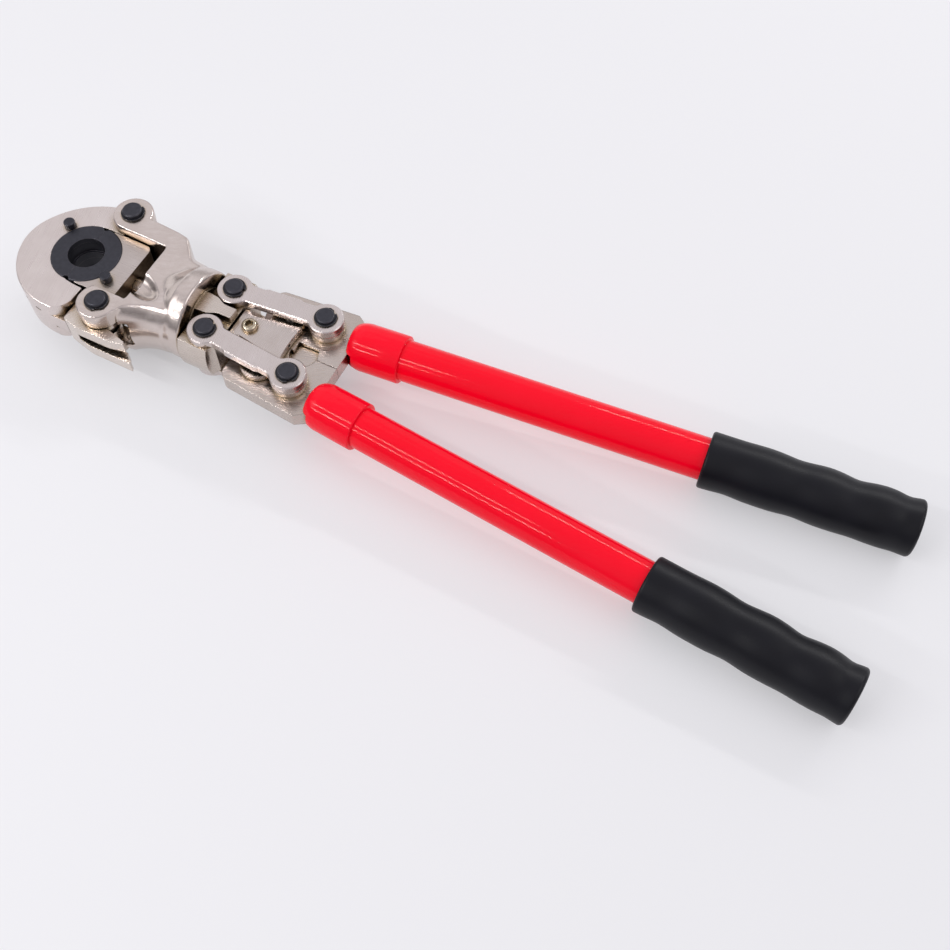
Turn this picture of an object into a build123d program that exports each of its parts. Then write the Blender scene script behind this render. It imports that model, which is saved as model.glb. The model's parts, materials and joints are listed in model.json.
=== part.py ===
from build123d import *
from math import asin, cos, hypot, pi, radians, sin, sqrt
import os

# Pipe press pliers, in millimetres, closed and with the handles pushed in.
# The origin is the centre of the closed dies. +X runs to the handles and +Z is up.
# Right is +Y and left is -Y, as the user sees them from the handles.

# Fits
pin_play = 0.05          # radial play of a pin or rod in its bore
slide_play = 0.1         # play between flat faces that slide on each other
ram_play = 0.5           # room round the ram where nothing guides it
gap = 0.3                # play between faces that pass each other
pin_edge = 0.6           # chamfer on the ends of a pin
press_cut = 1.0          # how far a cutting shape stands out of what it cuts

# Die halves
die_radius = 21.6
die_height = 30.0
die_bore_radius = 11.0
die_mouth_radius = 11.3
die_groove_radius = 12.4
die_land = 5.0
die_mouth = 3.6
die_split = 0.2
die_corner_notch = 2.0
die_edge = 0.5

# Jaw frame, the C-shaped half of the head that swings open
frame_radius = 42.4
frame_center_x = 0.7
frame_center_y = -1.2
frame_nose_radius = 32.0 # tighter round at the front of the frame
frame_brow_radius = 53.5 # flatter round from there to the hinge
frame_brow_x = 10.0
frame_brow_y = -12.2
frame_height = 29.0
frame_edge = 1.2
hinge_x = 12.0
hinge_y = 35.0
frame_end_x = 12.8       # near end of the thick frame at the slot
frame_end_corner = 6.5   # rounding of that end at the outside
tongue_height = 11.0
tongue_width = 8.4
frame_step_x = 13.0      # where the thin layer of the frame meets the latch
slit_length = 4.5        # short gaps left open in the seams of the frame's layers
slit_height = 1.3
slit_depth = 2.0
slit_turns_upper = (-119.0, -101.0)
slit_turns_lower = (-85.0,)

# Die lock buttons
button_radius = 3.5
button_top = 19.0
button_angle_front = 148.0
button_angle_rear = -26.5
button_length = 20.0
button_travel = 3.0
spring_wire = 0.8
spring_coils = 4
button_edge = 0.5

# Die carrier
carrier_front_x = 6.0
carrier_rear_x = 33.5
carrier_corner = 4.0
carrier_wall = 4.0       # from the seat of the die to the nose of the ram
nose_pin_radius = 1.5
nose_play = 0.2
nose_pin_sink = 0.5      # how deep the ends of the cross pins lie in the carrier

# Yoke with its neck
yoke_height = 43.0
head_pin_radius = 6.0
hinge_pin_rise = 3.5
latch_pin_rise = 3.0
latch_pin_crown = 1.4    # rounding of the latch pin's ends
head_ear_radius = 12.5
lower_ear_depth = 17.0   # underside of the lower ear at the latch
fork_bottom_x = 45.5
fork_corner = 2.5
bell_radius = 20.5
bell_start_x = 49.0
bell_end_x = 72.0
neck_radius = 28.5
neck_end_x = 82.5
neck_rim = 1.0
shoulder_start_x = 45.0
shoulder_radius = 36.0
shoulder_end_x = 71.0    # where the shoulder runs out in the neck
scoop_radius = 9.0
scoop_depth = 2.4
scoop_tilt = 8.0
scoop_y = -10.2
shoulder_x = 52.6
shoulder_y = 34.6
shoulder_corner = 6.0
shoulder_rise = 1.8      # how much further out the right arm starts at its ear
waist_turn = 23.0        # where the left arm leaves its ear
arm_root_x = 66.0
ear_edge = 1.0
swivel_gap = 1.0

# Latch
latch_x = 31.5
latch_y = -30.5
latch_height = 20.0
latch_slot = 4.2
latch_slot_start_x = 23.2
latch_outer_y = -46.4
latch_nose_y = -44.0
latch_heel_x = 45.0
latch_tail_x = 56.0
latch_tail_y = -44.2
latch_tail_tip = 2.0
latch_tail_root_y = -38.6
latch_lower_tail = 4.2   # how much further the lower plate of the tail reaches
latch_lower_flare = 1.7
latch_bay_x = 50.0
latch_boss_radius = 8.2
latch_nose_corner = 1.5
latch_bend = 20.0
latch_flare_bend = 15.0
latch_root_corner = 3.0
latch_tail_rake = 1.0
latch_spring_wire = 1.2
latch_spring_coils = 2

# Body block behind the neck
block_radius = 30.0
block_height = 24.0
block_end_x = 106.0
island_height = 34.0
island_front_half = 7.0
island_rear_half = 3.6
island_taper = 0.7       # how much the island narrows before its waist
island_waist_x = 8.0     # from the front of the block to that waist
island_bend = 8.0
island_end_gap = 0.3
spigot_radius = 19.0
spigot_length = 24.0
swivel_groove_x = 70.0
swivel_screw_radius = 3.0
swivel_screw_depth = 10.5
swivel_screw_sink = 0.6
scallop_radius = 7.0
scallop_x = 4.0          # centre of the scallop behind the block
scallop_inset = 1.5

# Toggle linkage
handle_angle = 5.2
front_pin_x = 96.3
front_pin_y = 16.3
link_length = 59.7
crank_length = 22.0
link_pin_radius = 5.6
link_pin_top = 19.7
link_thickness = 4.9
link_eye_radius = 10.8
link_half_width = 6.2
link_neck = 5.0          # rounding between the bar and the eyes
link_step = 0.9          # how far the outer edge stands out in the middle
link_step_start = 17.0   # from either pin to that step
link_step_run = 2.4
link_edge = 0.6
clip_thickness = 1.1
clip_rim = 1.2
clip_groove = 1.0
clip_play = 0.02
clip_mouth = 3.0
clip_lug_radius = 1.5

# Ram and pusher
ram_radius = 7.0
ram_groove_radius = 4.5
ram_head = 2.5
ram_tang_radius = 5.0
bush_wall = 2.0
bush_stop = 2.0          # end of the bush before the front of the block
pusher_height = 21.0
pusher_front_x = 107.0
pusher_web_half = 10.8
pusher_end_x = 142.6
pusher_end_hollow = 90.0
pusher_waist_half = 7.8
pusher_waist_x = 113.0
pusher_waist_run = 4.0   # along X from the full width to the waist
pusher_waist_bend = 3.0
pusher_rear_run = 5.0    # along X from the rear width to the horns
pusher_rear_bend = 6.0
pusher_hole_radius = 1.2
pusher_hole_depth = 5.0
pusher_rear_half = 11.9
pusher_horn_half = 13.0
pusher_ear_thickness = 4.2
pusher_ear_gap = 1.4     # room between an ear and the boss of the arm, with the pins in line
pusher_ear_offset = 1.2
pusher_ear_turn = 40.0   # the ear is set back on this side, where the boss goes round it
pusher_screw_x = 116.0
screw_head_radius = 4.8
screw_socket_radius = 2.7
screw_socket_depth = 2.2
screw_head_height = 3.4
screw_head_round = 2.0
screw_radius = 3.0
screw_bite = 2.0         # how far the screw enters the tang of the ram
crank_play = 2.6         # play of the crank pin in its arm, where the toggle is opened

# Arms
arm_height = 10.0
arm_front_x = 115.0
arm_rear_x = 174.5
arm_outer = 16.6         # outer edge of the arm from the handle axis
arm_front_corner = 6.0
arm_rear_chamfer_x = 7.0
arm_rear_chamfer_y = 5.0
arm_relief = 2.1         # how far the front of the arm keeps from the middle plane
arm_mesh_x = 140.0       # where the two arms begin to face each other
boss_radius = 10.0
boss_height = 4.6
tooth_start_x = 145.3
tooth_end_x = 158.4
tooth_depth = 6.6
tooth_slope = 2.4
tooth_recess = 3.0       # how much lower the tooth lies than the arms, on each face
tooth_recess_radius = 8.5
washer_radius = 9.7

# Telescopic handles, measured along the handle from the rear link pin
inner_tube_radius = 10.0
inner_tube_bore = 7.5
inner_tube_length = 270.0
arm_spigot_length = 42.0
rivet_radius = 2.0
rivet_place = 40.0
rivet_sink = 0.3
stop_bush_length = 14.0
stop_bush_head = 4.0
tube_radius = 12.5
tube_wall = 2.2
tube_start = 31.0
collar_end = 49.6
collar_radius = 14.65
collar_nose = 8.0        # length of the cone at its front
collar_nose_radius = 11.3
collar_nose_round = 1.0
collar_shoulder_round = 4.0
collar_edge = 0.8
grip_start = 233.2
grip_end = 353.4
grip_radius = 16.6
grip_wave = 0.7
grip_waves = 4
grip_end_wall = 2.6
grip_edge = 2.2

# Heights and half widths that follow
frame_half = frame_height / 2
yoke_half = yoke_height / 2
slot_half = die_radius + gap
carrier_half = slot_half - gap - slide_play
die_seat = die_radius + pin_play
hinge = (hinge_x, hinge_y)
latch = (latch_x, latch_y)
lug_radius = head_ear_radius - gap
swing_radius = hypot(hinge_x, hinge_y + die_radius) + gap
latch_half = latch_height / 2
tongue_end_x = latch_x - latch_boss_radius - gap
block_front_x = neck_end_x + swivel_gap
spigot_front_x = block_front_x - spigot_length
block_half = block_height / 2
link_low = block_half + slide_play
link_high = link_low + link_thickness
link_faces = (link_high, -link_high)
arm_half = arm_height / 2
ear_low = arm_half + gap
pusher_half = pusher_height / 2
pusher_ear_radius = crank_length - boss_radius - pusher_ear_gap

# Pin centres of the right-hand toggle, which lie in line when the dies are closed
axis_x = cos(radians(handle_angle))
axis_y = sin(radians(handle_angle))
front_pin = (front_pin_x, front_pin_y)
rear_pin = (front_pin_x + link_length * axis_x, front_pin_y + link_length * axis_y)
crank_pin = (rear_pin[0] - crank_length * axis_x, rear_pin[1] - crank_length * axis_y)
handle_place = Pos(rear_pin[0], rear_pin[1], 0) * Rot(0, 0, handle_angle)
arm_rear_along = (arm_rear_x - rear_pin[0]) / axis_x
inner_tube_start = arm_rear_along + inner_tube_radius * axis_y / axis_x + slide_play
collar_start = arm_rear_along + collar_nose_radius * axis_y / axis_x + gap


def disc(center, radius, low, high):
    """Round solid on an upright axis, between two heights."""
    return Pos(center[0], center[1], low) * extrude(Circle(radius), high - low)


def plate(corners, low, high):
    """Flat plate between two heights. A corner is (x, y), or (x, y, radius) where it is rounded."""
    outline = make_face(Polyline(*[corner[:2] for corner in corners], close=True))
    for corner in corners:
        if len(corner) == 3:
            point = outline.vertices().sort_by_distance((corner[0], corner[1], 0))[0]
            outline = fillet(point, corner[2])
    return extrude(Pos(0, 0, low) * outline, high - low, dir=(0, 0, 1))


def rod(start, end, radius):
    """Round solid along X."""
    return Pos((start + end) / 2, 0, 0) * Rot(0, 90, 0) * Cylinder(radius, end - start)


def turned(*profile):
    """Solid turned about X from (x, radius) points."""
    return revolve(make_face(Polyline(*profile, close=True)), Axis.X)


def both_faces(solid):
    """The solid and its twin on the underside."""
    return solid + mirror(solid, Plane.XY)


def both_sides(solid):
    """The right-hand solid and its twin on the left."""
    return solid + mirror(solid, Plane.XZ)


def left_of(solid):
    """The left-hand twin of a right-hand piece."""
    return mirror(solid, Plane.XZ)


def edges_at_height(solid, height):
    """Edges that lie flat at one height, above and below the middle plane."""
    level = solid.edges().filter_by_position(Axis.Z, height - 0.01, height + 0.01)
    return level + solid.edges().filter_by_position(Axis.Z, -height - 0.01, -height + 0.01)


def grooved_pin(center, radius, low, high, clip_faces, crown=0):
    """Upright pin with a clip groove outside each of the given heights, and domed ends if it has a crown."""
    pin = disc(center, radius, low, high)
    for face in clip_faces:
        outer = face + clip_thickness if face > 0 else face - clip_thickness
        collar = disc(center, radius + press_cut, min(face, outer), max(face, outer))
        pin -= collar - disc(center, radius - clip_groove, low, high)
    ends = pin.edges().filter_by_position(Axis.Z, low - 0.01, low + 0.01)
    ends += pin.edges().filter_by_position(Axis.Z, high - 0.01, high + 0.01)
    return fillet(ends, crown) if crown else chamfer(ends, pin_edge)


def clip(center, radius, face, mouth_angle):
    """Open retaining ring in the groove of a pin, outside the face that it holds, with a lug at each end."""
    low = face if face > 0 else face - clip_thickness
    high = low + clip_thickness
    ring = disc((0, 0), radius + clip_rim, low, high)
    lug_turn = asin((clip_mouth / 2 + clip_lug_radius) / radius)
    ring += both_sides(disc((radius * cos(lug_turn), radius * sin(lug_turn)), clip_lug_radius, low, high))
    ring -= disc((0, 0), radius - clip_groove + clip_play, low, high)
    ring -= Pos(radius, 0, low) * Box(2 * radius, clip_mouth, 3 * clip_thickness)
    return Pos(center[0], center[1], 0) * Rot(0, 0, mouth_angle) * ring


def coil(center, low, mean_radius, wire, turns, height):
    """Wound spring on an upright axis. Each half turn is two arcs that meet the helix at its ends."""
    pitch = (height - wire) / turns

    def point(angle):
        return Vector(mean_radius * cos(angle), mean_radius * sin(angle), pitch * angle / (2 * pi))

    def along(angle):
        rise = pitch / (2 * pi)
        return Vector(-mean_radius * sin(angle), mean_radius * cos(angle), rise).normalized()

    arcs = []
    for half in range(2 * turns):
        start = point(half * pi)
        end = point((half + 1) * pi)
        out = along(half * pi)
        back = along((half + 1) * pi)
        chord = end - start
        both = out + back
        spread = 2 * (1 - out.dot(back))
        reach = (sqrt(chord.dot(both) ** 2 + spread * chord.dot(chord)) - chord.dot(both)) / spread
        first = start + out * reach
        last = end - back * reach
        middle = (first + last) / 2
        arcs.append(TangentArc(start, middle, tangent=out))
        arcs.append(TangentArc(middle, end, tangent=last - first))
    section = Plane(origin=point(0), z_dir=along(0)) * Circle(wire / 2)
    wound = sweep(section, path=Wire(arcs))
    return Pos(center[0], center[1], low + wire / 2) * wound


def button_center(angle):
    """A lock button stands just outside the rim of its die half."""
    reach = die_radius + button_radius + slide_play
    return (reach * cos(radians(angle)), reach * sin(radians(angle)))


front_button = button_center(button_angle_front)
rear_button = button_center(button_angle_rear)
button_low = button_top - button_length
well_low = button_low - button_travel - spring_wire * (spring_coils + 1)


def button_well(center):
    """Blind hole for a lock button and its spring."""
    return disc(center, button_radius + pin_play, well_low, frame_half + press_cut)


def make_die():
    """Front die half, with a land between two grooves in its bore."""
    half = die_height / 2
    ring = chamfer(edges_at_height(disc((0, 0), die_radius, -half, half), half), die_edge)
    bore = disc((0, 0), die_bore_radius, -half, half)
    bore += both_faces(disc((0, 0), die_mouth_radius, half - die_mouth, half))
    bore += both_faces(disc((0, 0), die_groove_radius, die_land / 2, half - die_mouth))
    ring -= bore
    ring -= both_sides(disc((0, die_radius), die_corner_notch, -half, half))
    behind = Pos(die_radius - die_split / 2, 0, 0) * Box(2 * die_radius, 3 * die_radius, 2 * die_height)
    return ring - behind


def along(start, end, length):
    """The point at a length from start, in the direction of end."""
    share = length / hypot(end[0] - start[0], end[1] - start[1])
    return (start[0] + (end[0] - start[0]) * share, start[1] + (end[1] - start[1]) * share)


def nose_center():
    """Centre of the tighter round, which runs smoothly into the frame's two larger rounds."""
    main_reach = frame_radius - frame_nose_radius
    brow_reach = frame_brow_radius - frame_nose_radius
    span = hypot(frame_center_x - frame_brow_x, frame_center_y - frame_brow_y)
    foot = (brow_reach ** 2 - main_reach ** 2 + span ** 2) / (2 * span)
    side = sqrt(brow_reach ** 2 - foot ** 2)
    x, y = along((frame_brow_x, frame_brow_y), (frame_center_x, frame_center_y), foot)
    lean_x = (frame_center_x - frame_brow_x) / span
    lean_y = (frame_center_y - frame_brow_y) / span
    return (x - side * lean_y, y + side * lean_x)


def frame_outline():
    """Egg-shaped outline of the frame, straight along the latch side up to its end."""
    main = (frame_center_x, frame_center_y)
    brow = (frame_brow_x, frame_brow_y)
    nose = nose_center()
    low_y = frame_center_y - frame_radius
    low = (frame_center_x, low_y)
    front = along(main, nose, frame_radius)
    rise = along(brow, nose, frame_brow_radius)
    top = (frame_end_x, frame_brow_y + sqrt(frame_brow_radius ** 2 - (frame_end_x - frame_brow_x) ** 2))
    round_low = TangentArc(low, front, tangent=(-1, 0))
    round_nose = TangentArc(front, rise, tangent=round_low % 1)
    round_brow = TangentArc(rise, top, tangent=round_nose % 1)
    end = Polyline(top, (frame_end_x, low_y), low)
    return make_face(round_low + round_nose + round_brow + end)


def make_slits():
    """Short open gaps in the two seams between the layers of the frame."""
    slits = []
    for turns, height in ((slit_turns_upper, tongue_height / 2), (slit_turns_lower, -tongue_height / 2)):
        for turn in turns:
            slit = Pos(frame_radius, 0, 0) * Box(2 * slit_depth, slit_length, slit_height)
            slits.append(Pos(frame_center_x, frame_center_y, height) * Rot(0, 0, turn) * slit)
    return slits


def make_jaw_frame():
    """C-shaped frame with a hinge lug on the right and a stepped end on the left."""
    reach = 2 * frame_radius
    low_y = frame_center_y - frame_radius
    outline = frame_outline()
    corner = outline.vertices().sort_by_distance((frame_end_x, low_y, 0))[0]
    outline = fillet(corner, frame_end_corner)
    frame = extrude(Pos(0, 0, -frame_half) * outline, frame_height, dir=(0, 0, 1))
    frame = fillet(edges_at_height(frame, frame_half), frame_edge)
    frame -= plate([(hinge_x, 0), (reach, 0), (reach, reach), (hinge_x, reach)], -frame_half, frame_half)
    frame += disc(hinge, lug_radius, -frame_half, frame_half)
    tongue_half = tongue_height / 2
    thin = [(frame_center_x, 0), (frame_center_x, low_y), (frame_step_x, low_y), (frame_step_x, 0)]
    thin = plate(thin, -tongue_half, tongue_half)
    tongue = disc(hinge, swing_radius + tongue_width, -tongue_half, tongue_half)
    tongue &= plate([(0, 0), (tongue_end_x, 0), (tongue_end_x, -reach), (0, -reach)], -frame_half, frame_half)
    frame += thin + tongue
    swing = disc(hinge, swing_radius, -frame_half, frame_half)
    frame -= swing & plate([(0, 0), (reach, 0), (reach, -reach), (0, -reach)], -frame_half, frame_half)
    frame -= disc((0, 0), die_seat, -frame_half, frame_half)
    mouth = [(0, -slot_half), (reach, -slot_half), (reach, slot_half), (0, slot_half)]
    frame -= plate(mouth, -frame_half, frame_half)
    frame -= disc(hinge, head_pin_radius + pin_play, -frame_half, frame_half)
    return frame - button_well(front_button) - make_slits()


def make_carrier():
    """Sliding block that holds the rear die half and takes the nose of the ram."""
    corners = [(carrier_front_x, -carrier_half), (carrier_rear_x, -carrier_half, carrier_corner)]
    corners += [(carrier_rear_x, carrier_half, carrier_corner), (carrier_front_x, carrier_half)]
    block = plate(corners, -frame_half, frame_half)
    block -= disc((0, 0), die_seat, -frame_half, frame_half)
    block -= rod(ram_nose_x - gap, carrier_rear_x + press_cut, ram_radius + nose_play)
    block -= make_nose_pins()
    return block - button_well(rear_button)


ram_nose_x = die_seat + carrier_wall
nose_groove_x = ram_nose_x + ram_head
nose_pin_x = nose_groove_x + nose_pin_radius + pin_play
nose_pin_z = ram_groove_radius + nose_pin_radius + nose_play


def make_nose_pins():
    """Two cross pins in the carrier that run in the groove of the ram's nose."""
    pin = Rot(90, 0, 0) * Cylinder(nose_pin_radius, 2 * (carrier_half - nose_pin_sink))
    return both_faces(Pos(nose_pin_x, 0, nose_pin_z) * pin)


def make_yoke():
    """Forged fork with two pairs of ears, running into a round neck that swivels on the body."""
    half = yoke_half
    bell = Line((fork_bottom_x, 0), (fork_bottom_x, bell_radius))
    bell += Line((fork_bottom_x, bell_radius), (bell_start_x, bell_radius))
    bell += TangentArc((bell_start_x, bell_radius), (bell_end_x, neck_radius), tangent=(1, 0))
    bell += Polyline((bell_end_x, neck_radius), (neck_end_x - neck_rim, neck_radius),
                     (neck_end_x, neck_radius - neck_rim), (neck_end_x, 0), (fork_bottom_x, 0))
    yoke = revolve(make_face(bell), Axis.X)
    reach = 2 * frame_radius
    flank = Line((shoulder_start_x, 0), (shoulder_start_x, shoulder_radius))
    flank += TangentArc((shoulder_end_x, neck_radius), (shoulder_start_x, shoulder_radius), tangent=(-1, 0))
    flank += Polyline((shoulder_end_x, neck_radius), (shoulder_end_x, 0), (shoulder_start_x, 0))
    shoulder = revolve(make_face(flank), Axis.X)
    yoke += shoulder & Pos(arm_root_x, 0, 0) * Box(reach, reach, yoke_height)
    neck_side = sqrt(neck_radius ** 2 - half ** 2)
    right = [(hinge_x, hinge_y - head_ear_radius), (fork_bottom_x, slot_half), (fork_bottom_x, 0)]
    right += [(arm_root_x, 0), (arm_root_x, neck_side), (shoulder_x, shoulder_y, shoulder_corner)]
    right += [(hinge_x + head_ear_radius, shoulder_y + shoulder_rise), hinge]
    right_arm = plate(right, -half, half) + disc(hinge, head_ear_radius, -half, half)
    turn = radians(waist_turn)
    waist = (latch_x + head_ear_radius * cos(turn), latch_y + head_ear_radius * sin(turn))
    left = [(latch_x, latch_y + head_ear_radius), (fork_bottom_x, -slot_half), (fork_bottom_x, 0)]
    left += [(arm_root_x, 0), (arm_root_x, -neck_side), waist, latch]
    left_arm = plate(left, -half, half) + disc(latch, head_ear_radius, -half, half)
    right_arm = fillet(edges_at_height(right_arm, half), ear_edge)
    left_arm = fillet(edges_at_height(left_arm, half), ear_edge)
    yoke += right_arm + left_arm
    slot = [(-reach, -slot_half), (fork_bottom_x, -slot_half, fork_corner)]
    slot += [(fork_bottom_x, slot_half, fork_corner), (-reach, slot_half)]
    yoke -= plate(slot, -reach, reach)
    scoop = Cylinder(scoop_radius, arm_root_x - fork_bottom_x, align=(Align.CENTER, Align.CENTER, Align.MIN))
    scoop_height = half + scoop_radius - scoop_depth
    scoop_start = fork_bottom_x - press_cut
    yoke -= both_faces(Pos(scoop_start, scoop_y, scoop_height) * Rot(0, 90 - scoop_tilt, 0) * scoop)
    pocket = disc(hinge, lug_radius + gap, -frame_half - gap, frame_half + gap)
    pocket += plate([(0, 0), (hinge_x + gap, 0), (hinge_x + gap, hinge_y), (0, hinge_y)],
                    -frame_half - gap, frame_half + gap)
    yoke -= pocket
    bay = [(0, -reach), (0, -slot_half), (latch_bay_x, -slot_half), (latch_bay_x, -reach)]
    yoke -= plate(bay, -latch_half - gap, latch_half + gap)
    yoke -= plate([*bay[:2], (fork_bottom_x, -slot_half), (fork_bottom_x, -reach)], -half, -lower_ear_depth)
    yoke -= disc(hinge, head_pin_radius, -half, half)
    yoke -= disc(latch, head_pin_radius, -half, half)
    yoke -= rod(fork_bottom_x - press_cut, neck_end_x, ram_radius + ram_play)
    yoke -= rod(spigot_front_x - gap, neck_end_x + press_cut, spigot_radius + pin_play)
    return yoke - make_swivel_screws(swivel_screw_radius)


def make_swivel_screws(radius):
    """Two screws through the neck whose tips run in the groove of the spigot."""
    start = neck_radius - swivel_screw_depth
    length = swivel_screw_depth - swivel_screw_sink
    screw = Rot(-90, 0, 0) * Cylinder(radius, length, align=(Align.CENTER, Align.CENTER, Align.MIN))
    return both_sides(Pos(swivel_groove_x, start, 0) * screw)


def make_latch():
    """Rocking latch, two plates joined at the nose, that closes round the tongue of the frame."""
    half = latch_half
    nose_x = frame_step_x + gap
    bend_x = latch_slot_start_x
    root = (latch_x + latch_boss_radius, latch_tail_root_y)
    corners = [(nose_x, latch_nose_y, latch_nose_corner), (bend_x, latch_outer_y, latch_bend)]
    corners += [(latch_heel_x, latch_outer_y, latch_bend), (latch_tail_x, latch_tail_y)]
    corners += [(latch_tail_x - latch_tail_rake, latch_tail_y + latch_tail_tip)]
    corners += [(*root, latch_root_corner), latch, (nose_x, latch_y)]
    lever = plate(corners, -half, half) + disc(latch, latch_boss_radius, -half, half)
    tip_x = latch_tail_x + latch_lower_tail
    flare_y = latch_outer_y - latch_lower_flare
    flare = [(bend_x, latch_outer_y), (latch_x, flare_y, latch_flare_bend), (tip_x, flare_y)]
    flare += [(tip_x - latch_tail_rake, flare_y + latch_tail_tip), root, (bend_x, latch_outer_y + press_cut)]
    lever += plate(flare, -half, -latch_slot / 2)
    reach = 2 * frame_radius
    rear = [(bend_x, 0), (reach, 0), (reach, -reach), (bend_x, -reach)]
    lever -= plate(rear, -latch_slot / 2, latch_slot / 2)
    tongue_room = disc(hinge, swing_radius + tongue_width + gap, -half, half)
    lever -= tongue_room - disc(latch, latch_boss_radius, -half, half)
    return lever - disc(latch, head_pin_radius + pin_play, -half, half)


def make_block():
    """Body block that carries the front link pins and turns in the neck on its spigot."""
    block = rod(block_front_x, block_end_x, block_radius)
    slab = Box(3 * block_radius, 3 * block_radius, block_height)
    block &= Pos(block_end_x, 0, 0) * slab
    scallop = (block_end_x + scallop_x, block_radius - scallop_inset)
    block -= both_sides(disc(scallop, scallop_radius, -block_half, block_half))
    sides = [(block_front_x, island_front_half)]
    sides += [(block_front_x + island_waist_x, island_front_half - island_taper, island_bend)]
    sides += [(front_pin_x + island_taper, island_rear_half, island_bend)]
    sides += [(block_end_x - island_end_gap, island_rear_half)]
    across = [(corner[0], -corner[1], *corner[2:]) for corner in reversed(sides)]
    island = plate(sides + across, block_half, island_height / 2)
    island -= both_sides(disc(front_pin, link_eye_radius + gap, block_half, island_height))
    block += both_faces(island)
    groove_half = swivel_screw_radius + gap
    groove = rod(swivel_groove_x - groove_half, swivel_groove_x + groove_half, spigot_radius)
    groove -= rod(spigot_front_x, block_front_x, neck_radius - swivel_screw_depth - gap)
    block += rod(spigot_front_x, block_front_x, spigot_radius) - groove
    block -= rod(spigot_front_x - press_cut, block_end_x + press_cut, ram_radius + ram_play)
    block -= rod(spigot_front_x - press_cut, block_front_x - bush_stop, ram_radius + bush_wall)
    return block - both_sides(disc(front_pin, link_pin_radius, -block_half, block_half))


def make_bush():
    """Plain bearing of the ram, pressed in the spigot."""
    bush = rod(spigot_front_x, block_front_x - bush_stop, ram_radius + bush_wall)
    return bush - rod(spigot_front_x - press_cut, block_front_x, ram_radius + pin_play)


def make_ram():
    """Round ram with a grooved nose in the carrier and a tang in the pusher."""
    groove_end = nose_pin_x + nose_pin_radius + pin_play
    profile = [(ram_nose_x, 0), (ram_nose_x, ram_radius), (nose_groove_x, ram_radius)]
    profile += [(nose_groove_x, ram_groove_radius), (groove_end, ram_groove_radius), (groove_end, ram_radius)]
    profile += [(pusher_front_x, ram_radius), (pusher_front_x, ram_tang_radius)]
    profile += [(pusher_screw_x - screw_radius, ram_tang_radius), (pusher_screw_x - screw_radius, 0)]
    return turned(*profile)


def make_pusher():
    """Crosshead behind the block: a web between two plates, each with an ear for either crank pin."""
    half = pusher_half
    arm_sweep = arm_reach + crank_play + gap
    web = [(pusher_front_x, -pusher_web_half), (pusher_front_x, pusher_web_half)]
    web += [(crank_pin[0], pusher_web_half), (crank_pin[0], -pusher_web_half)]
    core = plate(web, -half, half) - both_sides(disc(crank_pin, arm_sweep, -half, half))
    neck_x = pusher_waist_x
    edge = [(pusher_front_x, 0), (pusher_front_x, pusher_web_half)]
    edge += [(neck_x - pusher_waist_run, pusher_web_half, pusher_waist_bend)]
    edge += [(neck_x, pusher_waist_half, pusher_waist_bend)]
    edge += [(pusher_end_x - pusher_rear_run, pusher_rear_half, pusher_rear_bend)]
    edge += [(pusher_end_x + press_cut, pusher_horn_half), (pusher_end_x + press_cut, 0)]
    top = both_sides(plate(edge, ear_low, half))
    top -= disc((pusher_end_x + pusher_end_hollow, 0), pusher_end_hollow, ear_low, half)
    ear_high = ear_low + pusher_ear_thickness
    turn = radians(pusher_ear_turn)
    ear_center = (crank_pin[0] - pusher_ear_offset * cos(turn), crank_pin[1] - pusher_ear_offset * sin(turn))
    ear = disc(ear_center, pusher_ear_radius, ear_low, ear_high)
    side = pusher_ear_radius - pusher_ear_offset
    bridge = [(ear_center[0] - side, 0), (ear_center[0] + side, 0), (ear_center[0] + side, pusher_rear_half)]
    bridge += [ear_center, (ear_center[0] - side, ear_center[1])]
    ear += plate(bridge, ear_low, ear_high)
    pusher = core + both_faces(top + both_sides(ear))
    pusher -= both_sides(disc(crank_pin, link_pin_radius, -half, half))
    pusher -= rod(pusher_front_x - press_cut, pusher_screw_x - screw_radius, ram_tang_radius)
    hole = rod(pusher_end_x - pusher_hole_depth, pusher_end_x + press_cut, pusher_hole_radius)
    pusher -= both_faces(Pos(0, 0, (ear_low + half) / 2) * hole)
    return pusher - disc((pusher_screw_x, 0), screw_radius, ram_tang_radius - screw_bite, half)


def make_crank_pins():
    """Two short pins between the ears of the pusher, through the arms."""
    reach = ear_low + pusher_ear_thickness
    return both_sides(disc(crank_pin, link_pin_radius, -reach, reach))


def make_pusher_screw():
    """Button-head socket screw on the centre plate of the pusher."""
    top = pusher_half + screw_head_height
    head = disc((pusher_screw_x, 0), screw_head_radius, pusher_half, top)
    head = fillet(edges_at_height(head, top), screw_head_round)
    head += disc((pusher_screw_x, 0), screw_radius, ram_tang_radius - screw_bite, pusher_half)
    socket = extrude(RegularPolygon(screw_socket_radius, 6), screw_socket_depth + press_cut)
    return head - Pos(pusher_screw_x, 0, top - screw_socket_depth) * socket


def make_link_plates():
    """Upper and lower link of the right-hand toggle."""
    half = link_half_width
    step_end = link_step_start + link_step_run
    bar = [(0, -half), (link_length, -half), (link_length, half), (link_length - link_step_start, half)]
    bar += [(link_length - step_end, half + link_step), (step_end, half + link_step)]
    bar += [(link_step_start, half), (0, half)]
    link = plate(bar, link_low, link_high)
    for place in (0, link_length):
        link += disc((place, 0), link_eye_radius, link_low, link_high)
    inner = link.edges().filter_by(Axis.Z).filter_by(lambda edge: abs(abs(edge.center().Y) - half) < 0.01)
    neck = inner.filter_by(lambda edge: min(edge.center().X, link_length - edge.center().X) < link_eye_radius)
    link = fillet(neck, link_neck)
    link = chamfer(link.edges().group_by(Axis.Z)[-1], link_edge)
    for place in (0, link_length):
        link -= disc((place, 0), link_pin_radius + pin_play, link_low, link_high)
    link = Pos(*front_pin, 0) * Rot(0, 0, handle_angle) * link
    return both_faces(link)


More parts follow.
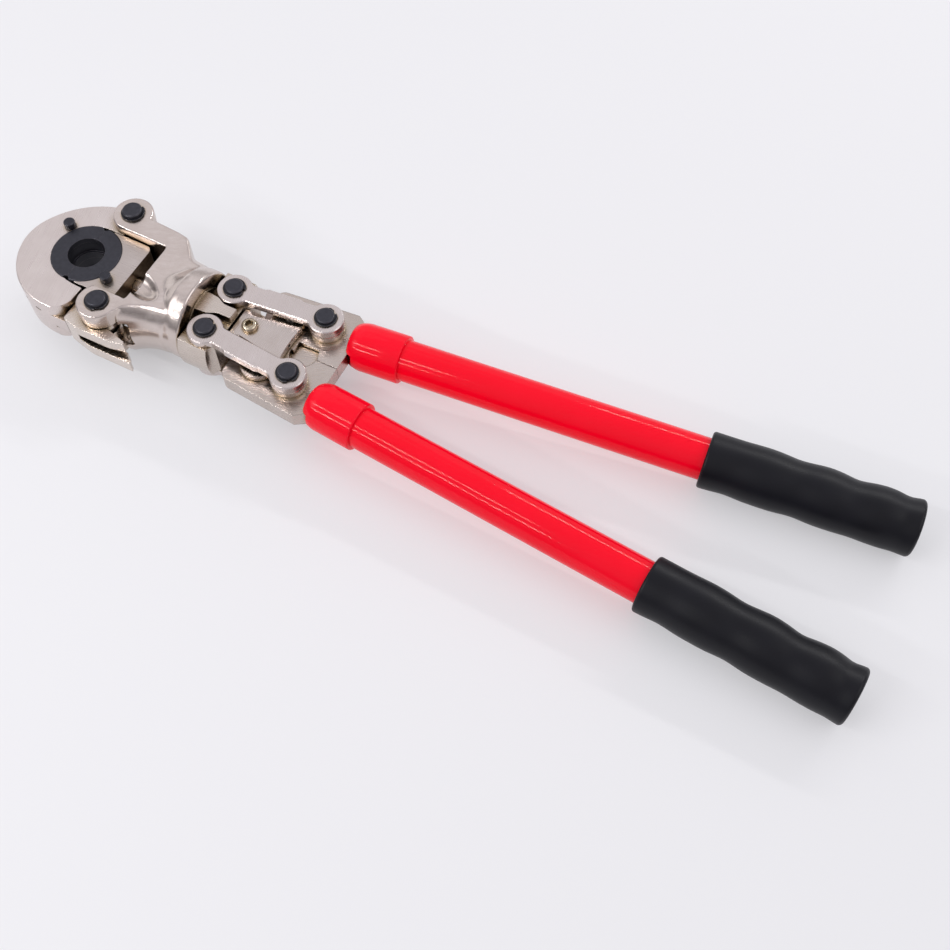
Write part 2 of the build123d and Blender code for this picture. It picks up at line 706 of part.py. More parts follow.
def make_clips(radius, faces, *pins):
    """Retaining rings on both ends of each pin. A pin is its centre and the way the ring's mouth points."""
    rings = []
    for center, mouth_angle in pins:
        for face in faces:
            rings.append(clip(center, radius, face, mouth_angle))
    return Compound(rings)


arm_inner_reach = crank_pin[1] - arm_relief
arm_corner_x = crank_pin[0] - arm_front_x
arm_reach = hypot(arm_corner_x - arm_front_corner, arm_outer - arm_front_corner) + arm_front_corner


def make_arm(side):
    """Forged arm of one handle, with bosses for the link pin, a spigot for the tube and the meshing tooth."""
    lift = arm_outer / axis_x

    def outer_y(x):
        return front_pin_y + lift + (x - front_pin_x) * axis_y / axis_x

    seam = die_split / 2
    corners = [(crank_pin[0], arm_relief), (arm_mesh_x, seam), (tooth_start_x, seam)]
    if side == "right":
        corners += [(tooth_start_x - gap, tooth_depth + gap), (tooth_end_x + gap, tooth_depth + gap)]
        corners += [(tooth_end_x + gap + tooth_slope, seam)]
    else:
        corners += [(tooth_start_x, -tooth_depth), (tooth_end_x, -tooth_depth)]
        corners += [(tooth_end_x + tooth_slope, seam)]
    corners += [(arm_rear_x, seam), (arm_rear_x, outer_y(arm_rear_x) - arm_rear_chamfer_y)]
    corners += [(arm_rear_x - arm_rear_chamfer_x, outer_y(arm_rear_x - arm_rear_chamfer_x))]
    corners += [(arm_front_x, outer_y(arm_front_x), arm_front_corner), (arm_front_x, arm_relief)]
    arm = plate(corners, -arm_half, arm_half)
    if side == "left":
        arm -= make_tooth_recess()
    front = [(0, 0), (crank_pin[0], 0), crank_pin, (0, crank_pin[1])]
    nose = plate(front, -arm_half, arm_half) - disc(crank_pin, arm_inner_reach, -arm_half, arm_half)
    arm -= nose
    arm += both_faces(disc(rear_pin, boss_radius, 0, arm_half + boss_height))
    spigot = rod(arm_rear_along - inner_tube_bore, arm_rear_along + arm_spigot_length, inner_tube_bore)
    reach = 2 * arm_rear_x
    behind = Pos(arm_rear_x, 0, 0) * Box(reach, reach, reach, align=(Align.MIN, Align.CENTER, Align.CENTER))
    arm += behind & (handle_place * spigot)
    arm -= disc(crank_pin, link_pin_radius + crank_play, -arm_half, arm_half)
    arm -= disc(rear_pin, link_pin_radius + pin_play, -yoke_half, yoke_half)
    arm -= handle_place * make_rivet()
    return arm if side == "right" else left_of(arm)


def make_tooth_recess():
    """What is milled off both faces of the tooth and, in a round, off the arm behind it."""
    low = arm_half - tooth_recess
    front_x = tooth_start_x - press_cut
    rear_x = tooth_end_x + tooth_slope + press_cut
    tip_y = -tooth_depth - press_cut
    recess = plate([(front_x, tip_y), (rear_x, tip_y), (rear_x, 0), (front_x, 0)], low, arm_half)
    middle = ((tooth_start_x + tooth_end_x) / 2, 0)
    return both_faces(recess + disc(middle, tooth_recess_radius, low, arm_half))


def make_rivet():
    """Cross rivet that holds the inner tube on the arm's spigot."""
    return Pos(rivet_place, 0, 0) * Cylinder(rivet_radius, 2 * (inner_tube_radius - rivet_sink))


def make_washers():
    """Spacer rings between the arm's bosses and the links."""
    low = arm_half + boss_height + slide_play
    ring = disc(rear_pin, washer_radius, low, link_low - slide_play)
    return both_faces(ring - disc(rear_pin, link_pin_radius + pin_play, low, link_low))


def make_inner_tube():
    """Steel tube riveted on the arm, on which the red tube slides."""
    end = inner_tube_start + inner_tube_length
    tube = rod(inner_tube_start, end, inner_tube_radius) - rod(inner_tube_start, end, inner_tube_bore)
    return handle_place * (tube - make_rivet())


def make_stop_bush():
    """Nylon guide plugged in the far end of the inner tube."""
    end = inner_tube_start + inner_tube_length
    plug = rod(end - stop_bush_length, end, inner_tube_bore)
    return handle_place * (plug + rod(end, end + stop_bush_head, tube_radius - tube_wall - pin_play))


def make_tube():
    """Red outer tube of the handle."""
    tube_end = grip_end - grip_end_wall
    tube = rod(tube_start, tube_end, tube_radius) - rod(tube_start, tube_end, tube_radius - tube_wall)
    return handle_place * tube


def make_collar():
    """Red collar with a coned nose, glued on the front of the outer tube."""
    cone_end = collar_start + collar_nose
    profile = [(collar_start, 0), (collar_start, collar_nose_radius), (cone_end, collar_radius)]
    profile += [(collar_end - collar_edge, collar_radius), (collar_end, collar_radius - collar_edge)]
    collar = turned(*profile, (collar_end, 0))
    for place, radius in ((cone_end, collar_shoulder_round), (collar_start, collar_nose_round)):
        rim = collar.edges().filter_by(GeomType.CIRCLE)
        collar = fillet(rim.filter_by_position(Axis.X, place - 0.01, place + 0.01), radius)
    collar -= rod(collar_start - press_cut, collar_end + press_cut, inner_tube_radius + slide_play)
    return handle_place * (collar - rod(tube_start, collar_end + press_cut, tube_radius))


def make_grip():
    """Rubber grip with soft finger waves and a closed end."""
    wave = (grip_end - grip_start) / grip_waves
    crest = grip_radius
    dip = grip_radius - 2 * grip_wave
    points = []
    for step in range(2 * grip_waves + 1):
        points.append((grip_start + step * wave / 2, crest if step % 2 == 0 else dip))
    outline = Polyline((grip_start, 0), (grip_start, crest))
    outline += Spline(*points, tangents=[(1, 0), (1, 0)])
    outline += Polyline((grip_end, crest), (grip_end, 0), (grip_start, 0))
    grip = revolve(make_face(outline), Axis.X)
    grip = fillet(grip.edges().filter_by(GeomType.CIRCLE).sort_by(Axis.X)[-1:], grip_edge)
    return handle_place * (grip - rod(grip_start - press_cut, grip_end - grip_end_wall, tube_radius))


def make_spring(center):
    """Spring under a lock button."""
    height = button_low - well_low
    return coil(center, well_low, button_radius - spring_wire, spring_wire, spring_coils, height)


def make_latch_spring():
    """Torsion spring round the latch pin, between the two plates of the latch."""
    height = latch_slot - 2 * gap
    mean = head_pin_radius + gap + latch_spring_wire / 2
    return coil(latch, -height / 2, mean, latch_spring_wire, latch_spring_coils, height)


def make_button(center):
    """Lock button with a rounded head."""
    button = disc(center, button_radius, button_low, button_top)
    return chamfer(edges_at_height(button, button_top), button_edge)


def head_pin(center, rise, low_face, crown=0):
    """Pin through a pair of ears of the yoke, clipped on both sides."""
    faces = (yoke_half, low_face)
    return grooved_pin(center, head_pin_radius, low_face - rise, yoke_half + rise, faces, crown)


def link_pins(*centers):
    """Pins through a pair of links, clipped on both sides."""
    pins = []
    for center in centers:
        pins.append(grooved_pin(center, link_pin_radius, -link_pin_top, link_pin_top, link_faces))
    return Compound(pins)


left_front_pin = (front_pin[0], -front_pin[1])
left_rear_pin = (rear_pin[0], -rear_pin[1])
parts = {
    "body_block": make_block(),
    "ram_bush": make_bush(),
    "front_link_pins": link_pins(front_pin, left_front_pin),
    "front_link_clips": make_clips(link_pin_radius, link_faces, (front_pin, 0), (left_front_pin, 60)),
    "yoke": make_yoke(),
    "hinge_pin": head_pin(hinge, hinge_pin_rise, -yoke_half),
    "hinge_pin_clips": make_clips(head_pin_radius, (yoke_half, -yoke_half), (hinge, 78)),
    "latch_pin": head_pin(latch, latch_pin_rise, -lower_ear_depth, latch_pin_crown),
    "latch_pin_clips": make_clips(head_pin_radius, (yoke_half, -lower_ear_depth), (latch, -52)),
    "swivel_screws": make_swivel_screws(swivel_screw_radius),
    "latch_spring": make_latch_spring(),
    "jaw_frame": make_jaw_frame(),
    "fixed_die": make_die(),
    "front_button_spring": make_spring(front_button),
    "front_die_button": make_button(front_button),
    "latch_lever": make_latch(),
    "die_carrier": make_carrier(),
    "moving_die": mirror(make_die(), Plane.YZ),
    "ram_nose_pins": make_nose_pins(),
    "rear_button_spring": make_spring(rear_button),
    "rear_die_button": make_button(rear_button),
    "ram_rod": make_ram(),
    "pusher": make_pusher(),
    "crank_pins": make_crank_pins(),
    "pusher_screw": make_pusher_screw(),
}
right_pieces = {
    "link_plates": make_link_plates(),
    "link_pin": link_pins(rear_pin),
    "spacer_washers": make_washers(),
    "inner_tube": make_inner_tube(),
    "tube_rivet": handle_place * make_rivet(),
    "stop_bush": make_stop_bush(),
    "collar": make_collar(),
    "outer_tube": make_tube(),
    "grip": make_grip(),
}
for name, solid in right_pieces.items():
    parts["right_" + name] = solid
    parts["left_" + name] = left_of(solid)
parts["right_link_clips"] = make_clips(link_pin_radius, link_faces, (rear_pin, 61))
parts["left_link_clips"] = make_clips(link_pin_radius, link_faces, (left_rear_pin, -48))
parts["right_arm"] = make_arm("right")
parts["left_arm"] = make_arm("left")

os.makedirs("parts", exist_ok=True)
for name, solid in parts.items():
    export_step(solid, os.path.join("parts", name + ".step"))
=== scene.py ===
import json
import math

import bpy
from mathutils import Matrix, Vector


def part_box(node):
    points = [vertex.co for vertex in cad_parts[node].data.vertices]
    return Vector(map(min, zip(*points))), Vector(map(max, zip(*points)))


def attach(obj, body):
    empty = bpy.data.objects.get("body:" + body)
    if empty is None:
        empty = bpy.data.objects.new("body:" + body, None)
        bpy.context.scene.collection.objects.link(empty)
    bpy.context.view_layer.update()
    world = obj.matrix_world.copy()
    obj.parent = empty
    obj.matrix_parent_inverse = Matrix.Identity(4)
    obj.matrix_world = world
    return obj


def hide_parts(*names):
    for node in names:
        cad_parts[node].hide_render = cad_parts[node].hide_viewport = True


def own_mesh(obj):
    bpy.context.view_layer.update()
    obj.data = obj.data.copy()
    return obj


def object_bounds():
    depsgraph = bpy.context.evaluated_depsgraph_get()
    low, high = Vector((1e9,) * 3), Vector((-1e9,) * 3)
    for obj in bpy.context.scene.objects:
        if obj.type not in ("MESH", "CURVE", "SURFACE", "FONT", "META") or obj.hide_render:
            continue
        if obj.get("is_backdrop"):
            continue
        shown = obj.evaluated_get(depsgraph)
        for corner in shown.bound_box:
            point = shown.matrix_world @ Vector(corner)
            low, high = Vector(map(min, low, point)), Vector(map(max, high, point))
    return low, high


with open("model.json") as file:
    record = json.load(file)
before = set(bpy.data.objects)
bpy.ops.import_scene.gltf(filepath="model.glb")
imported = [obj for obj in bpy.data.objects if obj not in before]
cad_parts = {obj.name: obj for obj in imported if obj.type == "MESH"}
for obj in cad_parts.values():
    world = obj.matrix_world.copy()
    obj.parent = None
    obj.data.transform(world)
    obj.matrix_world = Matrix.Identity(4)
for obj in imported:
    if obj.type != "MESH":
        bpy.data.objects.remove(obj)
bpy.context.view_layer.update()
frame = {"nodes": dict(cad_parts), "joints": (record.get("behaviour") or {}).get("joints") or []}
bpy.ops.object.select_all(action="DESELECT")


# The press body is a steel block, milled all round, ground on its two broad faces and then
# nickel-plated. The neck of the head turns on its spigot, and the front link pins pass through it.
def linear(colour):
    """An sRGB hex colour as the linear colour with alpha that the shaders take."""
    shares = [int(colour[place:place + 2], 16) / 255 for place in (0, 2, 4)]
    return [s / 12.92 if s <= 0.04045 else ((s + 0.055) / 1.055) ** 2.4 for s in shares] + [1]


def add_node(tree, kind, values, links, **settings):
    """Adds one node, sets its own settings and socket values, and links its sockets to others."""
    node = tree.nodes.new(kind)
    for setting, value in settings.items():
        setattr(node, setting, value)
    for socket, value in values.items():
        node.inputs[socket].default_value = value
    for socket, source in links.items():
        tree.links.new(source, node.inputs[socket])
    return node


def start_material(name):
    """A new material with its node tree and its shader."""
    material = bpy.data.materials.new(name)
    material.use_nodes = True
    return material, material.node_tree, material.node_tree.nodes["Principled BSDF"]


def nickel_plate(name, dark, light, lay_angle, lay_run, lay_gap, roughness, edge_round,
                 shade_reach=5):
    """Dull nickel over ground steel: a warm grey mirror, blurred along the grinding lines.
    The lines are 0.1 mm apart on the real piece, and drawn coarser here so that they show.
    The plating is clouded a little, and its edges are broken and polished by handling. Corners
    between
    the pieces carry painted shade: the plate is painted brassy near them and nearly black deep in
    them.
    The angle is in degrees and the sizes are in millimetres."""
    cloud_size = 14
    line_height = 0.004
    shade_black, shade_brass = "2A2016", "AE9A7C"
    black_below, brass_above = 0.2, 0.62
    shaded_below, unshaded_above = 0.45, 0.9
    material, tree, shader = start_material(name)
    place = add_node(tree, "ShaderNodeTexCoord", {}, {})
    lay = add_node(tree, "ShaderNodeMapping",
                   {"Rotation": (0, 0, math.radians(lay_angle)),
                    "Scale": (lay_run / 1000, lay_gap / 1000, lay_gap / 1000)},
                   {"Vector": place.outputs["Object"]}, vector_type="TEXTURE")
    lines = add_node(tree, "ShaderNodeTexNoise", {"Scale": 1, "Detail": 3, "Roughness": 0.65},
                     {"Vector": lay.outputs["Vector"]})
    clouds = add_node(tree, "ShaderNodeTexNoise", {"Scale": 1000 / cloud_size, "Detail": 3},
                      {"Vector": place.outputs["Object"]})
    both = add_node(tree, "ShaderNodeMath", {}, {0: lines.outputs["Fac"], 1: clouds.outputs["Fac"]},
                    operation="MULTIPLY")
    tone = add_node(tree, "ShaderNodeMapRange", {"From Min": 0.0, "From Max": 0.54},
                    {"Value": both.outputs["Value"]})
    plate = add_node(tree, "ShaderNodeMix", {6: linear(dark), 7: linear(light)},
                     {0: tone.outputs["Result"]}, data_type="RGBA")
    # Painted shade: where ambient occlusion finds other faces within the reach, the plate's colour
    # turns brassy, then nearly black.
    corner = add_node(tree, "ShaderNodeAmbientOcclusion", {"Distance": shade_reach / 1000}, {},
                      samples=6)
    depth = add_node(tree, "ShaderNodeMapRange", {"From Min": black_below, "From Max": brass_above},
                     {"Value": corner.outputs["AO"]}, interpolation_type="SMOOTHSTEP")
    shade_tint = add_node(tree, "ShaderNodeMix", {6: linear(shade_black), 7: linear(shade_brass)},
                    {0: depth.outputs["Result"]}, data_type="RGBA")
    unshaded = add_node(tree, "ShaderNodeMapRange", {"From Min": shaded_below, "From Max": unshaded_above},
                     {"Value": corner.outputs["AO"]}, interpolation_type="SMOOTHSTEP")
    shaded_plate = add_node(tree, "ShaderNodeMix", {},
                     {0: unshaded.outputs["Result"], 6: shade_tint.outputs[2], 7: plate.outputs[2]},
                     data_type="RGBA")
    blur = add_node(tree, "ShaderNodeMapRange",
                    {"From Min": 0.25, "From Max": 0.75,
                     "To Min": roughness[0], "To Max": roughness[1]},
                    {"Value": lines.outputs["Fac"]})
    edge = add_node(tree, "ShaderNodeBevel", {"Radius": edge_round / 1000}, {}, samples=6)
    relief = add_node(tree, "ShaderNodeBump", {"Strength": 0.12, "Distance": line_height / 1000},
                      {"Height": lines.outputs["Fac"], "Normal": edge.outputs["Normal"]})
    shader.inputs["Metallic"].default_value = 1
    tree.links.new(shaded_plate.outputs[2], shader.inputs["Base Color"])
    tree.links.new(blur.outputs["Result"], shader.inputs["Roughness"])
    tree.links.new(relief.outputs["Normal"], shader.inputs["Normal"])
    return material


def dress(material, *nodes):
    """Gives CAD nodes a material."""
    for name in nodes:
        frame["nodes"][name].data.materials.clear()
        frame["nodes"][name].data.materials.append(material)


dress(nickel_plate("nickel_plate_block", "C4B8AF", "D8CEC6", lay_angle=0, lay_run=16, lay_gap=0.8,
                   roughness=(0.2, 0.34), edge_round=0.5, shade_reach=10),
      "body_block")


# The bush in the body's bore guides the ram, so that steel doesn't run on steel. It is turned from
# bearing bronze and pressed in.
def turned_bronze(name):
    """Bearing bronze off the lathe: brown gold, with shallow turning rings. They are drawn about
    3 mm apart, coarser than real ones: the wave texture has three in its unit, here 10 mm."""
    wave_unit = 10
    material, tree, shader = start_material(name)
    place = add_node(tree, "ShaderNodeTexCoord", {}, {})
    rings = add_node(tree, "ShaderNodeTexWave", {"Scale": 1000 / wave_unit, "Distortion": 1},
                     {"Vector": place.outputs["Object"]})
    colour = add_node(tree, "ShaderNodeMix", {6: linear("8F6A38"), 7: linear("C79B5B")},
                      {0: rings.outputs["Fac"]}, data_type="RGBA")
    blur = add_node(tree, "ShaderNodeMapRange", {"To Min": 0.26, "To Max": 0.38},
                    {"Value": rings.outputs["Fac"]})
    shader.inputs["Metallic"].default_value = 1
    tree.links.new(colour.outputs[2], shader.inputs["Base Color"])
    tree.links.new(blur.outputs["Result"], shader.inputs["Roughness"])
    return material


dress(turned_bronze("turned_bronze"), "ram_bush")


# The pins of all the joints are turned from tool steel, hardened and blackened in hot oxide.
# A circlip of blackened spring steel sits in a groove at each end and keeps the pin in.
def black_oxide(name, dark, light, worn, roughness, edge_round):
    """Hot-oxide black on turned steel: blue-black and half dull, rubbed to grey on its edges.
    The edge's rounding is in millimetres."""
    mottle_size = 2.2
    flat_turn, sharp_turn = 0.985, 0.8
    material, tree, shader = start_material(name)
    place = add_node(tree, "ShaderNodeTexCoord", {}, {})
    mottle = add_node(tree, "ShaderNodeTexNoise", {"Scale": 1000 / mottle_size, "Detail": 4},
                      {"Vector": place.outputs["Object"]})
    skin = add_node(tree, "ShaderNodeMix", {6: linear(dark), 7: linear(light)},
                    {0: mottle.outputs["Fac"]}, data_type="RGBA")
    edge = add_node(tree, "ShaderNodeBevel", {"Radius": edge_round / 1000}, {}, samples=6)
    face = add_node(tree, "ShaderNodeNewGeometry", {}, {})
    turn = add_node(tree, "ShaderNodeVectorMath", {},
                    {0: edge.outputs["Normal"], 1: face.outputs["Normal"]}, operation="DOT_PRODUCT")
    rubbed = add_node(tree, "ShaderNodeMapRange",
                      {"From Min": flat_turn, "From Max": sharp_turn, "To Max": 0.7},
                      {"Value": turn.outputs["Value"]})
    colour = add_node(tree, "ShaderNodeMix", {7: linear(worn)},
                      {0: rubbed.outputs["Result"], 6: skin.outputs[2]}, data_type="RGBA")
    blur = add_node(tree, "ShaderNodeMapRange",
                    {"From Min": 0.3, "From Max": 0.7,
                     "To Min": roughness[0], "To Max": roughness[1]},
                    {"Value": mottle.outputs["Fac"]})
    shader.inputs["Metallic"].default_value = 0.6
    tree.links.new(colour.outputs[2], shader.inputs["Base Color"])
    tree.links.new(blur.outputs["Result"], shader.inputs["Roughness"])
    tree.links.new(edge.outputs["Normal"], shader.inputs["Normal"])
    return material


dress(black_oxide("black_oxide_pin", "2C2C32", "44444C", "8A8488",
                  roughness=(0.3, 0.46), edge_round=0.35),
      "front_link_pins", "hinge_pin", "latch_pin", "ram_nose_pins", "right_link_pin",
      "left_link_pin", "crank_pins", "swivel_screws")
dress(black_oxide("black_oxide_clip", "1C1C20", "34343A", "9A9496",
                  roughness=(0.28, 0.42), edge_round=0.25),
      "front_link_clips", "hinge_pin_clips", "latch_pin_clips", "right_link_clips",
      "left_link_clips")


# The yoke is the forged head: a fork with ears for the jaw and the latch, run out into a round
# neck. It is drop forged, so its arms flow into the neck, then milled out and nickel-plated.
# A web stiffens the latch's ear, and the die leaves a long hollow in both broad faces.
forging_grain = 0.0007
merge_gap = 0.000001
sliver = 0.00005
web_start = (0.0424, -0.0366, 0)
web_turn = math.radians(63.7)
web_low = (0, 0, 0.0105)
web_high = (0.0115, 0.007, 0.0213)
flow_start_x = 0.0455
flow_end_x = 0.0817
flow_ramp = 0.002
flow_passes = 30
skin_passes = 2
bore_radius = 0.0197
bell_start_x = 0.068
bell_start_radius = 0.02574
bell_slope = 0.597
bell_reach = 0.0015
ring_start_x = 0.0765
ring_end_x = 0.0812
ring_radius = 0.0285
scoop_place = (0.045, -0.0085, 0.0222)
scoop_half = (0.0172, 0.0074, 0.0056)
scoop_turn = math.radians(-19)


def choose(piece, mode, test):
    """Selects the points, edges or faces of a piece that pass a test, and stays in edit mode."""
    bpy.ops.object.mode_set(mode="EDIT")
    bpy.ops.mesh.select_mode(type=mode)
    bpy.ops.mesh.select_all(action="DESELECT")
    bpy.ops.object.mode_set(mode="OBJECT")
    parts = {"VERT": piece.data.vertices, "EDGE": piece.data.edges, "FACE": piece.data.polygons}
    for part in parts[mode]:
        part.select = test(part)
    bpy.ops.object.mode_set(mode="EDIT")


def copy_node(node, name):
    """A new piece with a copy of a node's mesh, its loose triangles merged into one skin."""
    bpy.ops.object.select_all(action="DESELECT")
    piece = bpy.data.objects.new(name, frame["nodes"][node].data.copy())
    bpy.context.scene.collection.objects.link(piece)
    piece.data.materials.clear()
    piece.select_set(True)
    bpy.context.view_layer.objects.active = piece
    bpy.ops.mesh.customdata_custom_splitnormals_clear()
    choose(piece, "VERT", lambda point: True)
    bpy.ops.mesh.remove_doubles(threshold=merge_gap)
    bpy.ops.object.mode_set(mode="OBJECT")
    return piece


def add_box(low, high):
    """A block between two corners."""
    bpy.ops.mesh.primitive_cube_add(size=1, location=(Vector(low) + Vector(high)) / 2)
    block = bpy.context.object
    block.scale = Vector(high) - Vector(low)
    bpy.ops.object.transform_apply(location=True, rotation=True, scale=True)
    return block


def add_modifier(piece, kind, **settings):
    """Puts a modifier on a piece and applies it."""
    bpy.ops.object.select_all(action="DESELECT")
    piece.select_set(True)
    bpy.context.view_layer.objects.active = piece
    modifier = piece.modifiers.new(kind, kind)
    for setting, value in settings.items():
        setattr(modifier, setting, value)
    bpy.ops.object.modifier_apply(modifier=modifier.name)


def finish_piece(piece, material, smooth_angle):
    """Merges double points, turns the faces out, smooths the round ones and gives the material."""
    bpy.ops.object.mode_set(mode="EDIT")
    bpy.ops.mesh.select_all(action="SELECT")
    bpy.ops.mesh.remove_doubles(threshold=merge_gap)
    bpy.ops.mesh.normals_make_consistent(inside=False)
    bpy.ops.object.mode_set(mode="OBJECT")
    bpy.ops.object.shade_smooth_by_angle(angle=math.radians(smooth_angle))
    piece.data.materials.append(material)


def flow(point):
    """How far a point of the yoke lies in the part that the forging die rounds, from 0 to 1."""
    along = min(point.x - flow_start_x, flow_end_x - point.x) / flow_ramp
    return max(0, min(1, along, (point.yz.length - bore_radius) / flow_ramp * 2))


def bell_radius(x):
    """The radius of the neck's skin, which swells out of the fork and runs level into its ring."""
    length = ring_start_x - bell_start_x
    share = max(0, min(1, (x - bell_start_x) / length))
    swell = share ** 2 * (3 - 2 * share)
    rise = (ring_radius - bell_start_radius) * swell
    return bell_start_radius + rise + bell_slope * length * share * (1 - share) ** 2


def round_neck(piece):
    """Sets the points of the neck's skin on its true round, which the CAD mesh has in flats."""
    for point in piece.data.vertices:
        across = point.co.yz.length
        if bell_start_x < point.co.x < ring_end_x and across > bore_radius + bell_reach:
            target = bell_radius(point.co.x)
            pull = max(0, 1 - abs(across - target) / bell_reach)
            point.co.yz *= 1 + pull * (target / across - 1)


def press_scoops(piece):
    """Sinks a long shallow hollow into both broad faces, as the forging die leaves it."""
    along = Vector((math.cos(scoop_turn), math.sin(scoop_turn)))
    for point in piece.data.vertices:
        offset = point.co.xy - Vector(scoop_place[:2])
        far = (offset.dot(along) / scoop_half[0]) ** 2 + (along.cross(offset) / scoop_half[1]) ** 2
        bottom = scoop_place[2] - scoop_half[2] * math.sqrt(max(0, 1 - far))
        if far < 1 and abs(point.co.z) > bottom:
            point.co.z = math.copysign(bottom, point.co.z)
    choose(piece, "VERT", lambda point: True)
    bpy.ops.mesh.dissolve_degenerate(threshold=sliver)
    bpy.ops.object.mode_set(mode="OBJECT")


forging = copy_node("yoke", "forged_yoke")
web = add_box(web_low, web_high)
web.location = web_start
web.rotation_euler.z = web_turn
bpy.ops.object.transform_apply(location=True, rotation=True)
forging.select_set(True)
bpy.context.view_layer.objects.active = forging
bpy.ops.object.join()
forging.data.remesh_voxel_size = forging_grain
bpy.ops.object.voxel_remesh()
press_scoops(forging)
rounded = forging.vertex_groups.new(name="rounded")
for point in forging.data.vertices:
    rounded.add([point.index], flow(point.co), "REPLACE")
add_modifier(forging, "SMOOTH", factor=0.5, iterations=flow_passes, vertex_group="rounded")
round_neck(forging)
add_modifier(forging, "SMOOTH", factor=0.5, iterations=skin_passes)
forged_plate = nickel_plate("nickel_plate_forging", "C6B9B2", "DCD1CC", lay_angle=20, lay_run=6,
                            lay_gap=2.4, roughness=(0.17, 0.28), edge_round=0.3, shade_reach=9)
finish_piece(forging, forged_plate, smooth_angle=60)
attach(forging, "head")
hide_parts("yoke")


# The jaw frame is built up of ground steel plates with the fixed die half in it. It swings on the
# hinge pin, and the latch holds its other end, where the outer plates are cut back in a round.
plate_end = Vector((0.0128, -0.0436))
plate_round = 0.012
plate_inside = 0.0055
plate_outside = 0.016
plate_margin = 0.001
drum_sides = 96
layered_jaw = copy_node("jaw_frame", "layered_jaw_frame")
for low, high in ((plate_inside, plate_outside), (-plate_outside, -plate_inside)):
    round_x, round_y = plate_end.x - plate_round, plate_end.y + plate_round
    corner = add_box((round_x, plate_end.y - plate_margin, low),
                     (plate_end.x + plate_margin, round_y, high))
    bpy.ops.mesh.primitive_cylinder_add(vertices=drum_sides, radius=plate_round,
                                        depth=3 * plate_outside, location=(round_x, round_y, 0))
    drum = bpy.context.object
    add_modifier(corner, "BOOLEAN", operation="DIFFERENCE", object=drum)
    add_modifier(layered_jaw, "BOOLEAN", operation="DIFFERENCE", object=corner)
    bpy.data.objects.remove(drum)
    bpy.data.objects.remove(corner)
jaw_plate = nickel_plate("nickel_plate_jaw", "CFC3BF", "E4DAD6", lay_angle=104, lay_run=22,
                         lay_gap=0.8, roughness=(0.24, 0.38), edge_round=0.4, shade_reach=8)
finish_piece(layered_jaw, jaw_plate, smooth_angle=30)
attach(layered_jaw, "jaw")
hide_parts("jaw_frame")


# The two die halves are turned from tool steel, hardened and blackened. Each sits in a round seat,
# one in the jaw frame and one in the carrier, and is held there by a sprung button.
dress(black_oxide("black_oxide_die", "2A2A30", "42424A", "6E6A70",
                  roughness=(0.34, 0.5), edge_round=0.4),
      "fixed_die", "moving_die")
dress(black_oxide("black_oxide_button", "222228", "3C3C44", "8A868C",
                  roughness=(0.3, 0.44), edge_round=0.4),
      "front_die_button", "rear_die_button")


def drawn_wire(name, dark, light):
    """Spring wire off the drawing die: grey and half bright, with fine darker specks."""
    speck_size = 0.4
    material, tree, shader = start_material(name)
    place = add_node(tree, "ShaderNodeTexCoord", {}, {})
    specks = add_node(tree, "ShaderNodeTexNoise", {"Scale": 1000 / speck_size, "Detail": 2},
                      {"Vector": place.outputs["Object"]})
    colour = add_node(tree, "ShaderNodeMix", {6: linear(dark), 7: linear(light)},
                      {0: specks.outputs["Fac"]}, data_type="RGBA")
    shader.inputs["Metallic"].default_value = 1
    shader.inputs["Roughness"].default_value = 0.3
    tree.links.new(colour.outputs[2], shader.inputs["Base Color"])
    return material


button_wire = drawn_wire("drawn_wire", "8E8C8A", "B9B7B4")
for end, body in (("front", "jaw"), ("rear", "carrier")):
    coil = copy_node(f"{end}_button_spring", f"{end}_button_coil")
    finish_piece(coil, button_wire, smooth_angle=50)
    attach(coil, body)
    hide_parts(f"{end}_button_spring")
    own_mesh(coil)
# The latch spring is painted nearly black as painted shade, so that the pocket it sits in reads
# dark.
dress(drawn_wire("painted_shade_wire", "2A241E", "453D34"), "latch_spring")


# The carrier slides in the fork and holds the moving die half. It is milled from the same plate as
# the jaw frame, and ground and plated with it.
dress(nickel_plate("nickel_plate_carrier", "B8ADA8", "D0C6C2", lay_angle=0, lay_run=20, lay_gap=0.8,
                   roughness=(0.24, 0.38), edge_round=0.4, shade_reach=18),
      "die_carrier")


# The latch is a hook lever with a thumb tail, which turns on the latch pin at the fork's left side.
# It is cut from plate, rounded off by hand and nickel-plated.
dress(nickel_plate("nickel_plate_latch", "D2C6BD", "E8DED6", lay_angle=60, lay_run=12, lay_gap=0.9,
                   roughness=(0.18, 0.32), edge_round=0.7, shade_reach=9),
      "latch_lever")


# The ram is a ground round bar. Its pusher behind the body takes the two crank pins, and a screw
# with a hexagon socket clamps the two together. All are plated, the screw a little yellower.
dress(nickel_plate("nickel_plate_ram", "C0B4AE", "D4CAC6", lay_angle=90, lay_run=9, lay_gap=0.7,
                   roughness=(0.2, 0.32), edge_round=0.4),
      "ram_rod", "pusher")
dress(nickel_plate("nickel_plate_screw", "B0A08A", "CFC3AE", lay_angle=0, lay_run=3, lay_gap=0.8,
                   roughness=(0.18, 0.28), edge_round=0.5),
      "pusher_screw")


# Four link plates, an upper and a lower one on each side, tie the body to the arms. They are
# stamped from strip, drawn in at the waist, ground flat and plated.
dress(nickel_plate("nickel_plate_link", "CABFBB", "DCD2D0", lay_angle=104, lay_run=20, lay_gap=0.8,
                   roughness=(0.22, 0.36), edge_round=0.25),
      "right_link_plates", "left_link_plates")


# The two arms are flat levers that gear into each other at the pusher. They are cut from plate, and
# each has a boss on both faces for its link pin.
dress(nickel_plate("nickel_plate_arm", "BCAFA6", "D2C7C1", lay_angle=20, lay_run=16, lay_gap=0.8,
                   roughness=(0.2, 0.34), edge_round=0.9, shade_reach=4),
      "right_arm", "left_arm")


